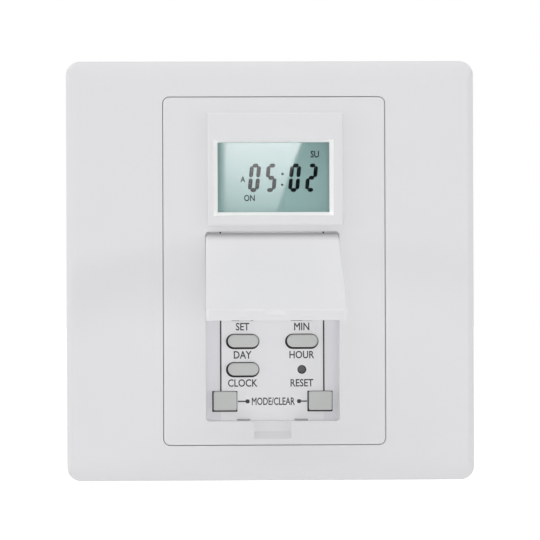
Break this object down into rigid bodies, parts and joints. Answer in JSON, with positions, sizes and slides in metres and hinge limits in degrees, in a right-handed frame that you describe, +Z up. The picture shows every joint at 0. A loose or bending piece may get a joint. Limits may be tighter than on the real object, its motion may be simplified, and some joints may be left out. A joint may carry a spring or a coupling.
{
  "type": "timer light switch",
  "caption": "Flush wall timer light switch: a square white plate with a display, a hinged flap standing open over a keypad, and a relay case with screw terminals behind.",
  "frame": {"origin": "middle of the plate on the wall plane, midway between the two wall screw slots", "axes": "+Z up, +X to the right seen from the room, the front faces -Y and the rear case runs into the wall along +Y"},
  "size_m": [0.086, 0.0712, 0.0886],
  "materials": {
    "white_plastic": "fine satin moulding, slightly cool white",
    "grey_white_plastic": "matte white moulding with printed labels",
    "case_plastic": "matte off-white moulding",
    "terminal_plastic": "matte grey-white moulding",
    "zinc_steel": "zinc-plated pressed steel",
    "zinc_screws": "zinc-plated steel",
    "spring_strip": "nickel-plated spring strip",
    "tin_can": "drawn tin-plated can",
    "brass_clamp": "turned brass",
    "gold": "gold-plated copper",
    "clear_pane": "clear polished acrylic",
    "display_glass": "display glass with polarising film",
    "pearl_film": "pearl reflector film",
    "black_foam": "closed-cell foam",
    "striped_rubber": "rubber with fine dark conductive stripes",
    "grey_silicone": "matte silicone rubber",
    "key_silicone": "matte light grey silicone rubber",
    "black_plastic": "black moulding compound",
    "grey_plastic": "dark grey plastic",
    "green_board": "green solder resist over glass-epoxy",
    "brown_board": "phenolic paper board",
    "blue_plastic": "blue relay cover",
    "blue_coating": "blue epoxy dip coating",
    "yellow_plastic": "yellow capacitor box",
    "black_sleeve": "shrink sleeve over an aluminium can",
    "brown_plastic": "brown fuse cap",
    "tan_ceramic": "flameproof resistor coating"
  },
  "bodies": {
    "body": {"front_frame": "white_plastic", "yoke_plate": "zinc_steel", "center_panel": "white_plastic", "display_lens": "clear_pane", "display_gasket": "black_foam", "lcd_front_glass": "display_glass", "lcd_rear_glass": "display_glass", "lcd_reflector": "pearl_film", "lcd_holder": "white_plastic", "contact_strips": "striped_rubber", "keypad_plate": "grey_white_plastic", "keypad_mat": "grey_silicone", "contact_pads": "gold", "reset_switch": "black_plastic", "control_board": "green_board", "board_screws": "zinc_screws", "control_chip": "black_plastic", "quartz_crystal": "tin_can", "backup_cell": "tin_can", "cell_clip": "spring_strip", "header_socket": "black_plastic", "pin_header": "black_plastic", "rear_case": "case_plastic", "case_screws": "zinc_screws", "power_board": "brown_board", "relay": "blue_plastic", "dropper_capacitor": "yellow_plastic", "smoothing_capacitor": "black_sleeve", "varistor": "blue_coating", "fuse": "brown_plastic", "rectifier_diodes": "black_plastic", "power_resistor": "tan_ceramic", "driver_transistor": "black_plastic", "terminal_block": "terminal_plastic", "terminal_clamps": "brass_clamp", "terminal_screws": "zinc_screws"},
    "flap": {"flap": "white_plastic"},
    "reset_plunger": {"reset_plunger": "grey_plastic"},
    "key_set": {"key_set": "key_silicone"},
    "key_minute": {"key_minute": "key_silicone"},
    "key_week": {"key_week": "key_silicone"},
    "key_hour": {"key_hour": "key_silicone"},
    "key_clock": {"key_clock": "key_silicone"},
    "key_mode": {"key_mode": "key_silicone"},
    "key_clear": {"key_clear": "key_silicone"}
  },
  "joints": [
    {"name": "flap_hinge", "type": "hinge", "parent": "body", "child": "flap", "pos_m": [0.0004, -0.00785, 0.00679], "axis": [-1, 0, 0], "range_deg": [-66, 34]},
    {"name": "key_set_press", "type": "slide", "parent": "body", "child": "key_set", "axis": [0, 1, 0], "range_m": [0, 0.0008], "stiffness_N_per_m": 1200},
    {"name": "key_minute_press", "type": "slide", "parent": "body", "child": "key_minute", "axis": [0, 1, 0], "range_m": [0, 0.0008], "stiffness_N_per_m": 1200},
    {"name": "key_week_press", "type": "slide", "parent": "body", "child": "key_week", "axis": [0, 1, 0], "range_m": [0, 0.0008], "stiffness_N_per_m": 1200},
    {"name": "key_hour_press", "type": "slide", "parent": "body", "child": "key_hour", "axis": [0, 1, 0], "range_m": [0, 0.0008], "stiffness_N_per_m": 1200},
    {"name": "key_clock_press", "type": "slide", "parent": "body", "child": "key_clock", "axis": [0, 1, 0], "range_m": [0, 0.0008], "stiffness_N_per_m": 1200},
    {"name": "key_mode_press", "type": "slide", "parent": "body", "child": "key_mode", "axis": [0, 1, 0], "range_m": [0, 0.0008], "stiffness_N_per_m": 1200},
    {"name": "key_clear_press", "type": "slide", "parent": "body", "child": "key_clear", "axis": [0, 1, 0], "range_m": [0, 0.0008], "stiffness_N_per_m": 1200},
    {"name": "reset_press", "type": "slide", "parent": "body", "child": "reset_plunger", "axis": [0, 1, 0], "range_m": [0, 0.0003], "stiffness_N_per_m": 1500}
  ]
}
